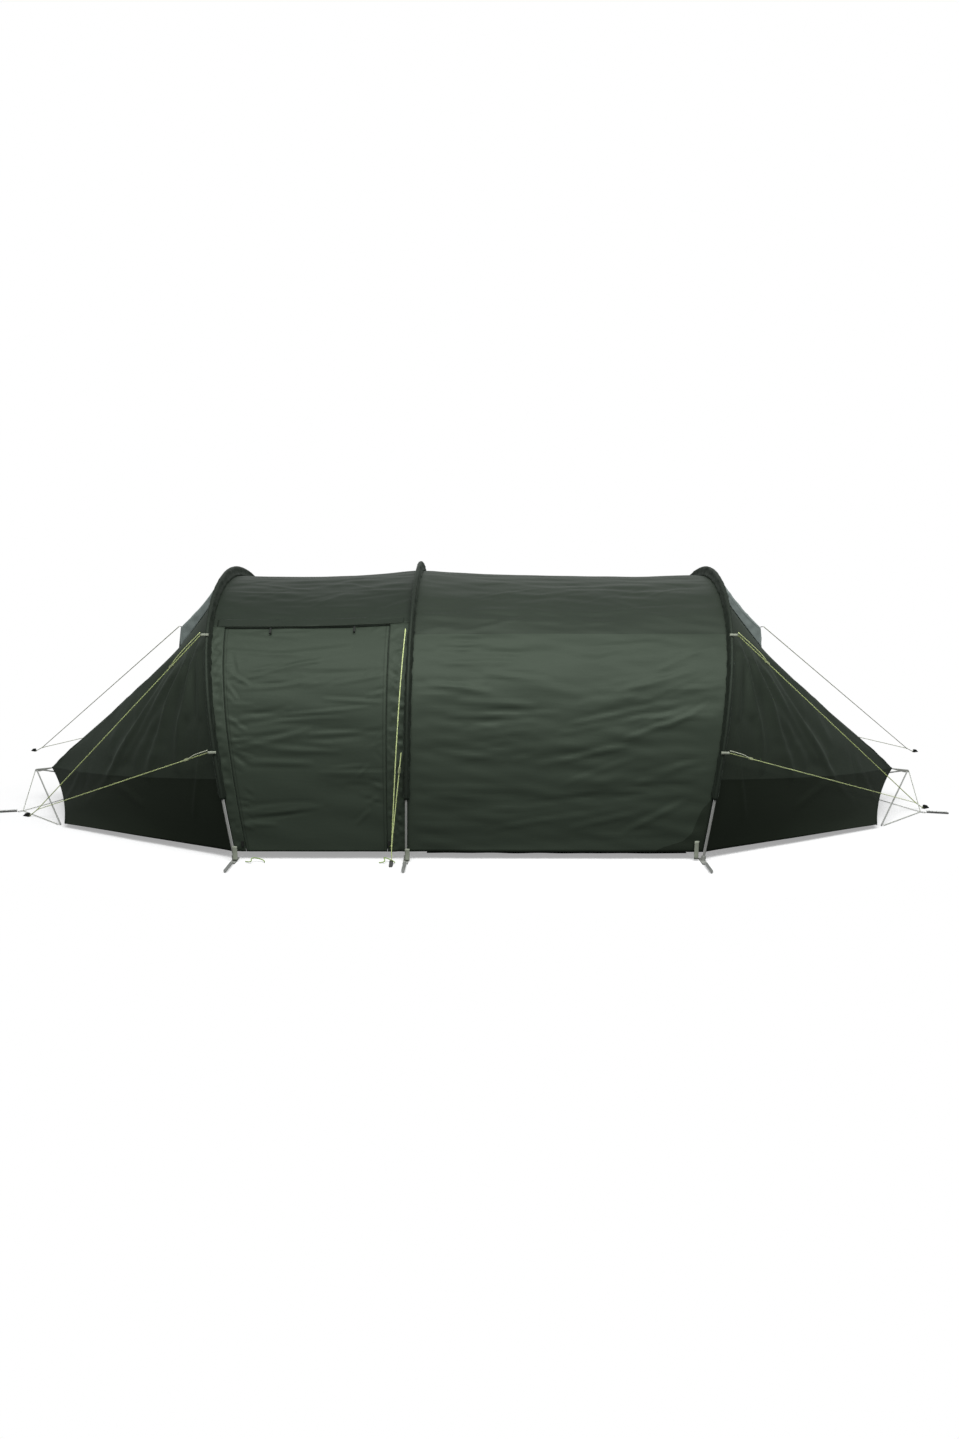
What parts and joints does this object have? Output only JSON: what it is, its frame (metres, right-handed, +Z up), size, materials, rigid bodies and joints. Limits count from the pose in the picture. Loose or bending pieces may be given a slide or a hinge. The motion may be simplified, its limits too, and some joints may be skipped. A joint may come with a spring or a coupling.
{
  "type": "tunnel tent",
  "caption": "Tunnel tent on arched poles: a porch with a hinged side door, a sleeping section with an inner tent, tapered vented ends, and pegged guy lines with sliding tensioners.",
  "frame": {"origin": "on the ground plane at the plan centre between the end tips, on the underside of the groundsheet", "axes": "+X along the tunnel towards the sleeping end, +Y away from the side door, +Z up"},
  "size_m": [5.6174, 2.1202, 1.198],
  "materials": {
    "pole": "plain grey tube, satin",
    "sleeve": "near-black green woven fabric, matt",
    "webbing": "grey woven webbing, matt",
    "peg": "grey alloy, satin",
    "fly": "green-grey woven fabric, satin",
    "hood": "pale blue-grey woven fabric, satin",
    "strut": "dark grey rod, smooth",
    "ring": "bent steel wire, bright",
    "bridle_cord": "pale grey braided cord, matt",
    "guy_cord": "yellow-green braided cord, matt",
    "plastic": "near-black moulded plastic, matt",
    "inner": "light grey-green woven fabric, matt",
    "groundsheet": "dark grey coated woven fabric, matt"
  },
  "bodies": {
    "tent": {"pole_left": "pole", "sleeve_left": "sleeve", "foot_strap_left_near": "webbing", "foot_peg_left_near": "peg", "foot_strap_left_far": "webbing", "foot_peg_left_far": "peg", "pole_middle": "pole", "sleeve_middle": "sleeve", "foot_strap_middle_near": "webbing", "foot_peg_middle_near": "peg", "foot_strap_middle_far": "webbing", "foot_peg_middle_far": "peg", "pole_right": "pole", "sleeve_right": "sleeve", "foot_strap_right_near": "webbing", "foot_peg_right_near": "peg", "foot_strap_right_far": "webbing", "foot_peg_right_far": "peg", "fly_porch": "fly", "fly_sleeping": "fly", "end_left": "fly", "vent_hood_left": "hood", "apex_tab_left": "webbing", "end_strut_left_near": "strut", "end_strut_left_far": "strut", "end_ring_left": "ring", "end_bridle_left": "bridle_cord", "end_peg_left": "peg", "end_right": "fly", "vent_hood_right": "hood", "apex_tab_right": "webbing", "end_strut_right_near": "strut", "end_strut_right_far": "strut", "end_ring_right": "ring", "end_bridle_right": "bridle_cord", "end_peg_right": "peg", "guy_line_left_near": "guy_cord", "guy_peg_left_near": "plastic", "guy_line_left_far": "guy_cord", "guy_peg_left_far": "plastic", "guy_line_middle_near": "guy_cord", "guy_peg_middle_near": "plastic", "guy_line_middle_far": "guy_cord", "guy_peg_middle_far": "plastic", "guy_line_right_near": "guy_cord", "guy_peg_right_near": "plastic", "guy_line_right_far": "guy_cord", "guy_peg_right_far": "plastic", "inner_tent": "inner", "groundsheet": "groundsheet"},
    "side_door": {"side_door": "fly", "door_toggle_left": "plastic", "door_toggle_right": "plastic"},
    "zip_slider_left": {"zip_slider_left": "plastic"},
    "zip_slider_right": {"zip_slider_right": "plastic"},
    "tensioner_left_upper": {"tensioner_left_upper": "plastic"},
    "tensioner_left_lower": {"tensioner_left_lower": "plastic"},
    "tensioner_right_upper": {"tensioner_right_upper": "plastic"},
    "tensioner_right_lower": {"tensioner_right_lower": "plastic"},
    "tensioner_middle_lower": {"tensioner_middle_lower": "plastic"}
  },
  "joints": [
    {"name": "side_door_swing", "type": "hinge", "parent": "tent", "child": "side_door", "pos_m": [-0.68295, -0.53955, 0.93242], "axis": [-0.9998, 0.0016, -0.0192], "range_deg": [0, 80]},
    {"name": "zip_slider_left_slide", "type": "slide", "parent": "tent", "child": "zip_slider_left", "axis": [-0.1343, 0.0317, 0.9904], "range_m": [0, 0.18]},
    {"name": "zip_slider_right_slide", "type": "slide", "parent": "tent", "child": "zip_slider_right", "axis": [-0.0005, 0.0349, 0.9994], "range_m": [0, 0.18]},
    {"name": "tensioner_left_upper_slide", "type": "slide", "parent": "tent", "child": "tensioner_left_upper", "axis": [-0.7105, 0.2724, -0.6489], "range_m": [-0.15, 0.3]},
    {"name": "tensioner_left_lower_slide", "type": "slide", "parent": "tent", "child": "tensioner_left_lower", "axis": [-0.8228, 0.4598, -0.3341], "range_m": [-0.08, 0.3]},
    {"name": "tensioner_right_upper_slide", "type": "slide", "parent": "tent", "child": "tensioner_right_upper", "axis": [0.7276, 0.3453, -0.5928], "range_m": [-0.15, 0.3]},
    {"name": "tensioner_right_lower_slide", "type": "slide", "parent": "tent", "child": "tensioner_right_lower", "axis": [0.8093, 0.5068, -0.2968], "range_m": [-0.08, 0.3]},
    {"name": "tensioner_middle_lower_slide", "type": "slide", "parent": "tent", "child": "tensioner_middle_lower", "axis": [-0.1108, -0.0681, -0.9915], "range_m": [-0.04, 0.15]}
  ]
}
